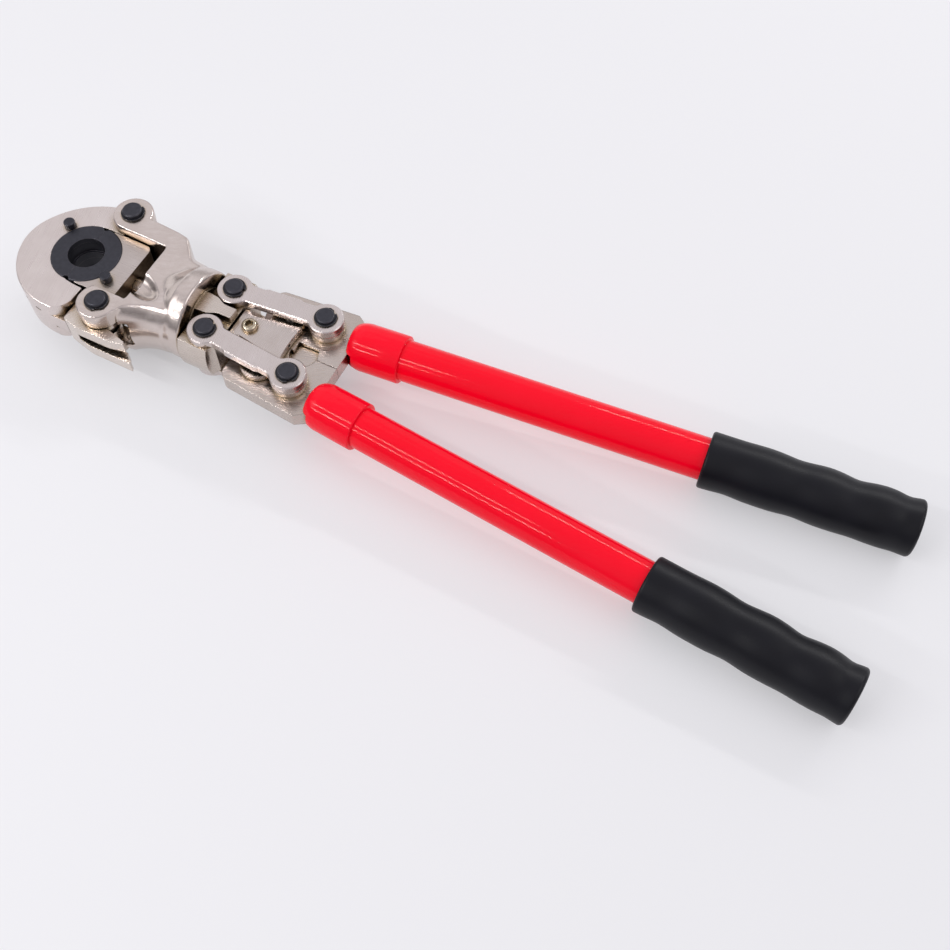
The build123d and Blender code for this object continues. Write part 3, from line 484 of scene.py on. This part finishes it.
# A spacer washer lies between each link and the boss of its arm. It is turned from bar and plated,
# and its edges are rounded. The dark line on both sides of it is mostly painted shade, from the
# short reach of its painted shade.
washer_radius = 0.0107
washer_bore = 0.00565
washer_round = 0.0008
washer_slack = 0.0002
washer_sides = 64


def edge_points(piece, edge):
    """The two end points of an edge."""
    return [piece.data.vertices[number].co for number in edge.vertices]


def set_copy(piece, name, place, turn):
    """A copy of a piece with a mesh of its own, turned about the upright and set at a place."""
    bpy.ops.object.select_all(action="DESELECT")
    piece.select_set(True)
    bpy.context.view_layer.objects.active = piece
    bpy.ops.object.duplicate()
    copy = bpy.context.object
    copy.name = name
    copy.location = place
    copy.rotation_euler = (0, 0, turn)
    bpy.ops.object.transform_apply(location=True, rotation=True, scale=True)
    return copy


def pin_center(side):
    """The middle of a side's rear link pin, where the arm turns and the handle's line starts."""
    low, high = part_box(f"{side}_link_pin")
    return (low + high) / 2


def on_washer_rim(edge):
    """Whether an edge of the washer runs round one of its two outer corners."""
    start, end = edge_points(washer, edge)
    outside = min(start.xy.length, end.xy.length) > 0.99 * washer_radius
    return outside and abs(start.z - end.z) < washer_round


washer_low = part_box("right_arm")[1].z
washer_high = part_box("right_spacer_washers")[1].z
washer_middle = (washer_low + washer_high) / 2
bpy.ops.mesh.primitive_cylinder_add(vertices=washer_sides, radius=washer_radius,
                                    depth=washer_high - washer_low - washer_slack,
                                    location=(0, 0, washer_middle))
washer = bpy.context.object
bpy.ops.object.transform_apply(location=True)
choose(washer, "FACE", lambda face: abs(face.normal.z) > 0.5)
bpy.ops.mesh.inset(thickness=washer_radius - washer_bore)
bpy.ops.mesh.bridge_edge_loops()
choose(washer, "EDGE", on_washer_rim)
bpy.ops.mesh.bevel(offset=washer_round, segments=3, affect="EDGES")
bpy.ops.mesh.select_all(action="SELECT")
bpy.ops.mesh.duplicate_move(TRANSFORM_OT_translate={"value": (0, 0, -2 * washer_middle)})
# Painted shade within 1.2 mm darkens both rims of each washer into dark lines.
washer_plate = nickel_plate("nickel_plate_washer", "BCAFA6", "D6CCC6", lay_angle=0, lay_run=12,
                            lay_gap=0.8, roughness=(0.2, 0.32), edge_round=0.2, shade_reach=1.2)
finish_piece(washer, washer_plate, smooth_angle=40)
for side in ("right", "left"):
    ring = set_copy(washer, f"{side}_washers", pin_center(side), turn=0)
    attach(ring, f"{side}_lever")
    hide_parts(f"{side}_spacer_washers")
bpy.data.objects.remove(washer)


# Each arm ends in a steel inner tube, riveted on, that the red handle slides along. A nylon bush at
# its end guides it inside.
def turned_nylon(name):
    """Natural nylon: milky white, slightly waxy."""
    speck_size = 1.2
    material, tree, shader = start_material(name)
    place = add_node(tree, "ShaderNodeTexCoord", {}, {})
    specks = add_node(tree, "ShaderNodeTexNoise", {"Scale": 1000 / speck_size},
                      {"Vector": place.outputs["Object"]})
    colour = add_node(tree, "ShaderNodeMix", {6: linear("D8D2C4"), 7: linear("ECE8DC")},
                      {0: specks.outputs["Fac"]}, data_type="RGBA")
    shader.inputs["Roughness"].default_value = 0.45
    shader.inputs["IOR"].default_value = 1.53
    tree.links.new(colour.outputs[2], shader.inputs["Base Color"])
    return material


dress(nickel_plate("nickel_plate_tube", "B9AFA8", "DAD2CC", lay_angle=5, lay_run=30, lay_gap=0.6,
                   roughness=(0.18, 0.3), edge_round=0.3),
      "right_inner_tube", "left_inner_tube", "right_tube_rivet", "left_tube_rivet")
dress(turned_nylon("turned_nylon"), "right_stop_bush", "left_stop_bush")


# The collars are moulded in red polyamide and glued on the handle tubes. The round nose of each is
# forked, and its two tines straddle the flat end of the arm when the handle is pushed in.
def red_gloss(name, deep, bright, roughness, ripple_size, ripple_height):
    """Glossy signal red: an even colour under a smooth skin that shows lamps as thin sharp lines,
    with a faint waviness in the skin that makes them swim. The ripples are in millimetres."""
    tone_size = 30
    material, tree, shader = start_material(name)
    place = add_node(tree, "ShaderNodeTexCoord", {}, {})
    tone = add_node(tree, "ShaderNodeTexNoise", {"Scale": 1000 / tone_size, "Detail": 2},
                    {"Vector": place.outputs["Object"]})
    colour = add_node(tree, "ShaderNodeMix", {6: linear(deep), 7: linear(bright)},
                      {0: tone.outputs["Fac"]}, data_type="RGBA")
    ripple = add_node(tree, "ShaderNodeTexNoise", {"Scale": 1000 / ripple_size, "Detail": 2},
                      {"Vector": place.outputs["Object"]})
    skin = add_node(tree, "ShaderNodeBump", {"Strength": 0.4, "Distance": ripple_height / 1000},
                    {"Height": ripple.outputs["Fac"]})
    shader.inputs["Roughness"].default_value = roughness
    shader.inputs["Specular IOR Level"].default_value = 0.2
    tree.links.new(colour.outputs[2], shader.inputs["Base Color"])
    tree.links.new(skin.outputs["Normal"], shader.inputs["Normal"])
    return material


collar_radius = 0.01465
collar_bore = 0.0101
collar_floor = 0.004
collar_rim = 0.0009
collar_sides = 72
nose_reach = 0.004
nose_steps = ((0.0022, 0.01445), (0.0025, 0.01385), (0.0021, 0.0129),
              (0.0014, 0.0118), (0.0006, 0.0108))
fork_gap = 0.0106
fork_half_width = 0.02
fork_slack = 0.0003
tolerance = 0.00001


def handle_line(side):
    """The direction in which a side's handle slides out."""
    joint = next(joint for joint in frame["joints"] if joint["name"] == f"{side}_handle_extend")
    return Vector(joint["axis"])


def span_along(side, node):
    """Where a node starts and ends along its handle, measured from the link pin."""
    line = handle_line(side)
    start = pin_center(side)
    reach = [(point.co - start).dot(line) for point in frame["nodes"][node].data.vertices]
    return min(reach), max(reach)


def handle_turn(side):
    """The angle of a side's handle in plan."""
    line = handle_line(side)
    return math.atan2(line.y, line.x)


def at_collar_end(edge):
    """Whether an edge of the collar lies in its flat rear end."""
    return min(point.x for point in edge_points(collar, edge)) > collar_end - tolerance


collar_start, collar_end = span_along("right", "right_collar")
nose_length = sum(step for step, radius in nose_steps)
shank_start = collar_start - nose_reach + nose_length
bpy.ops.mesh.primitive_cylinder_add(vertices=collar_sides, radius=collar_radius,
                                    depth=collar_end - shank_start,
                                    location=((collar_end + shank_start) / 2, 0, 0),
                                    rotation=(0, math.pi / 2, 0))
collar = bpy.context.object
bpy.ops.object.transform_apply(location=True, rotation=True)
choose(collar, "FACE", lambda face: face.normal.x < -0.5)
radius_before = collar_radius
place = shank_start
for step, radius in nose_steps:
    place -= step
    bpy.ops.mesh.extrude_region_move(TRANSFORM_OT_translate={"value": (-step, 0, 0)})
    bpy.ops.transform.resize(value=(1, radius / radius_before, radius / radius_before),
                             center_override=(place, 0, 0))
    radius_before = radius
bpy.ops.mesh.inset(thickness=radius_before - collar_bore)
bore_depth = collar_end - place - collar_floor
bpy.ops.mesh.extrude_region_move(TRANSFORM_OT_translate={"value": (bore_depth, 0, 0)})
choose(collar, "EDGE", at_collar_end)
bpy.ops.mesh.bevel(offset=collar_rim, segments=3, affect="EDGES")
collar_red = red_gloss("red_polyamide", "F20523", "FC082A", roughness=0.1, ripple_size=3.5,
                       ripple_height=0.008)
finish_piece(collar, collar_red, smooth_angle=50)
fork = add_box((place - nose_reach, -fork_half_width, -fork_gap / 2),
               (place + nose_reach + fork_slack, fork_half_width, fork_gap / 2))
add_modifier(collar, "BOOLEAN", operation="DIFFERENCE", object=fork)
bpy.data.objects.remove(fork)
for side in ("right", "left"):
    sleeve = set_copy(collar, f"{side}_nose_collar", pin_center(side), handle_turn(side))
    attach(sleeve, f"{side}_handle")
    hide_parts(f"{side}_collar")
bpy.data.objects.remove(collar)


# The handle tubes are drawn from steel and powder-coated in the same red as the collars. Each
# slides on the inner tube of its arm, with the collar glued on its front end.
dress(red_gloss("red_powder_coat", "F00420", "FA0628", roughness=0.08, ripple_size=1.6,
                ripple_height=0.004),
      "right_outer_tube", "left_outer_tube")


# The grips are black rubber, moulded and pushed over the tube ends, which they close. Finger
# hollows run along the upper right of each, and its palm side is nearly straight.
def moulded_rubber(name):
    """Matt black rubber: near black, with a broad soft shine and a fine moulded grain."""
    grain_size = 0.7
    grain_height = 0.06
    scuff_size = 18
    material, tree, shader = start_material(name)
    place = add_node(tree, "ShaderNodeTexCoord", {}, {})
    grain = add_node(tree, "ShaderNodeTexNoise", {"Scale": 1000 / grain_size, "Detail": 2},
                     {"Vector": place.outputs["Object"]})
    scuff = add_node(tree, "ShaderNodeTexNoise", {"Scale": 1000 / scuff_size, "Detail": 3},
                     {"Vector": place.outputs["Object"]})
    colour = add_node(tree, "ShaderNodeMix", {6: linear("07070D"), 7: linear("0E0E17")},
                      {0: scuff.outputs["Fac"]}, data_type="RGBA")
    blur = add_node(tree, "ShaderNodeMapRange", {"To Min": 0.34, "To Max": 0.5},
                    {"Value": scuff.outputs["Fac"]})
    relief = add_node(tree, "ShaderNodeBump", {"Strength": 0.25, "Distance": grain_height / 1000},
                      {"Height": grain.outputs["Fac"]})
    shader.inputs["IOR"].default_value = 1.52
    shader.inputs["Specular IOR Level"].default_value = 0.23
    tree.links.new(colour.outputs[2], shader.inputs["Base Color"])
    tree.links.new(blur.outputs["Result"], shader.inputs["Roughness"])
    tree.links.new(relief.outputs["Normal"], shader.inputs["Normal"])
    return material


grip_radius = 0.0166
grip_bore = 0.01252
grip_end_wall = 0.0026
grip_sides = 72
grip_rings = 60
front_round = 0.0016
end_round = 0.0024
ring_reach = 0.0001
front_face_area = 0.0001
finger_side = Vector((0, 0.85, 0.53))
finger_waves = ((0.27, 0.0005, 0.08), (0.42, -0.0006, 0.06), (0.555, 0.0005, 0.06),
                (0.69, -0.0011, 0.055), (0.82, 0.0004, 0.05), (0.925, -0.001, 0.04))
palm_waves = ((0.13, -0.0008, 0.07), (0.45, -0.0009, 0.07), (0.72, -0.0004, 0.06),
              (0.92, -0.0004, 0.04))


def wave_height(share, waves):
    """How far the skin of the grip stands out at a share of its length. Each wave has the share at
    its middle, its height in metres and its width as a share."""
    return sum(height * math.exp(-((share - middle) / width) ** 2)
               for middle, height, width in waves)


def runs_along(edge):
    """Whether an edge of the plain grip runs along it."""
    start, end = edge_points(grip, edge)
    return abs(start.x - end.x) > grip_radius / 2


def on_end_rim(edge, end_x):
    """Whether an edge of the grip runs round the outer corner of one of its ends."""
    return all(abs(point.x - end_x) < tolerance and point.yz.length > 0.95 * grip_radius
               for point in edge_points(grip, edge))


grip_start, grip_end = span_along("right", "right_grip")
grip_length = grip_end - grip_start
bpy.ops.mesh.primitive_cylinder_add(vertices=grip_sides, radius=grip_radius, depth=grip_length,
                                    location=((grip_start + grip_end) / 2, 0, 0),
                                    rotation=(0, math.pi / 2, 0))
grip = bpy.context.object
bpy.ops.object.transform_apply(location=True, rotation=True)
choose(grip, "EDGE", runs_along)
bpy.ops.mesh.subdivide(number_cuts=grip_rings - 1)
for step in range(1, grip_rings):
    share = step / grip_rings
    place = grip_start + share * grip_length
    finger = wave_height(share, finger_waves)
    palm = wave_height(share, palm_waves)
    stretch = 1 + (finger + palm) / 2 / grip_radius
    choose(grip, "VERT", lambda point: abs(point.co.x - place) < ring_reach)
    bpy.ops.transform.resize(value=(1, stretch, stretch), center_override=(place, 0, 0))
    bpy.ops.transform.translate(value=finger_side * (finger - palm) / 2)
choose(grip, "FACE", lambda face: face.normal.x < -0.9 and face.area > front_face_area)
bpy.ops.mesh.inset(thickness=grip_radius - grip_bore)
grip_depth = grip_length - grip_end_wall
bpy.ops.mesh.extrude_region_move(TRANSFORM_OT_translate={"value": (grip_depth, 0, 0)})
for end_x, offset in ((grip_start, front_round), (grip_end, end_round)):
    choose(grip, "EDGE", lambda edge: on_end_rim(edge, end_x))
    bpy.ops.mesh.bevel(offset=offset, segments=5, affect="EDGES")
finish_piece(grip, moulded_rubber("moulded_rubber"), smooth_angle=50)
for side in ("right", "left"):
    handle = set_copy(grip, f"{side}_rubber_grip", pin_center(side), handle_turn(side))
    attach(handle, f"{side}_handle")
    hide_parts(f"{side}_grip")
bpy.data.objects.remove(grip)


# The tool lies on a plain white acrylic sheet, lit faintly from below, so that shadows stay pale.
# The neck and the thinner grips rest on it, so it slopes a little against the tool's middle plane.
floor_size = 6
floor_slope = math.radians(1.63)
floor_place = (0.072, 0, -0.0288)
bpy.ops.mesh.primitive_plane_add(size=floor_size)
floor = bpy.context.object
floor.name = "floor"
floor.rotation_euler = (0, -floor_slope, 0)
floor.location = floor_place
acrylic, _, acrylic_shader = start_material("white_acrylic")
acrylic_shader.inputs["Base Color"].default_value = linear("B4B4B6")
acrylic_shader.inputs["Emission Color"].default_value = linear("F8F7FA")
acrylic_shader.inputs["Emission Strength"].default_value = 0.38
acrylic_shader.inputs["Roughness"].default_value = 0.7
acrylic_shader.inputs["Specular IOR Level"].default_value = 0.2
floor.data.materials.append(acrylic)
floor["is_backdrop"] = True


# The studio has pale walls that are darker near the floor, two strip lamps in front and one behind,
# which draw the thin lines on the red handles, and soft panels that light the plated faces.
horizon_light, top_light = 0.32, 0.7
world = bpy.data.worlds.new("studio")
world.use_nodes = True
sky_tree = world.node_tree
sky = sky_tree.nodes["Background"]
sky.inputs["Color"].default_value = linear("F6F4FA")
sky_place = add_node(sky_tree, "ShaderNodeTexCoord", {}, {})
sky_height = add_node(sky_tree, "ShaderNodeSeparateXYZ", {}, {0: sky_place.outputs["Generated"]})
sky_light = add_node(sky_tree, "ShaderNodeMapRange",
                     {"From Min": 0.1, "From Max": 0.7,
                      "To Min": horizon_light, "To Max": top_light},
                     {"Value": sky_height.outputs["Z"]}, interpolation_type="SMOOTHSTEP")
sky_tree.links.new(sky_light.outputs["Result"], sky.inputs["Strength"])
bpy.context.scene.world = world

tool_middle = (0.23, 0, 0)
strip_width = 0.04
for name, place, aim, width, length, power in (
        ("front_strip_high", (-0.6, -0.67, 1.114), (-0.6, 0, 0), strip_width, 1.2, 4.4),
        ("front_strip_low", (-0.6, -1.05, 0.764), (-0.6, 0, 0), strip_width, 1.2, 4.4),
        ("back_strip", (0.6, 1.2, 0.9), (0.6, 0, 0), strip_width, 1.1, 4.6),
        ("ceiling_panel", (-1.5, 1.0, 2.0), tool_middle, 2.0, 2.0, 3.0),
        ("left_softbox", (-1.0, -0.62, 1.0), tool_middle, 0.7, 0.7, 2.4),
        ("right_softbox", (1.9, 0.3, 1.7), tool_middle, 1.6, 1.6, 9),
        ("backdrop", (0.2, 1.9, 0.8), (0.2, 0, 0.8), 1.6, 4.0, 6),
        ("left_wall", (-2.2, 0.9, 0.45), (0, 0.1, 0.1), 0.9, 2.2, 4)):
    bpy.ops.object.light_add(type="AREA", location=place)
    lamp = bpy.context.object
    lamp.name = name
    lamp.data.shape = "RECTANGLE"
    lamp.data.size = length
    lamp.data.size_y = width
    lamp.data.energy = power
    lamp.rotation_euler = (Vector(aim) - Vector(place)).to_track_quat("-Z", "Y").to_euler()


# The camera stands at the tool's left, beside the handles, and looks down on it, as in the
# photograph. Its place, its turn and its lens are fitted to the outlines there.
camera_place = (0.42756, -0.32291, 0.58848)
camera_tilt = math.radians(29.581)
camera_turn = math.radians(26.77)
camera_lens = 45.89
bpy.ops.object.camera_add(location=camera_place, rotation=(camera_tilt, 0, camera_turn))
camera = bpy.context.object
camera.data.sensor_width = 36
camera.data.lens = camera_lens
bpy.context.scene.camera = camera
bpy.context.scene.view_settings.view_transform = "Standard"

low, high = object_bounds()
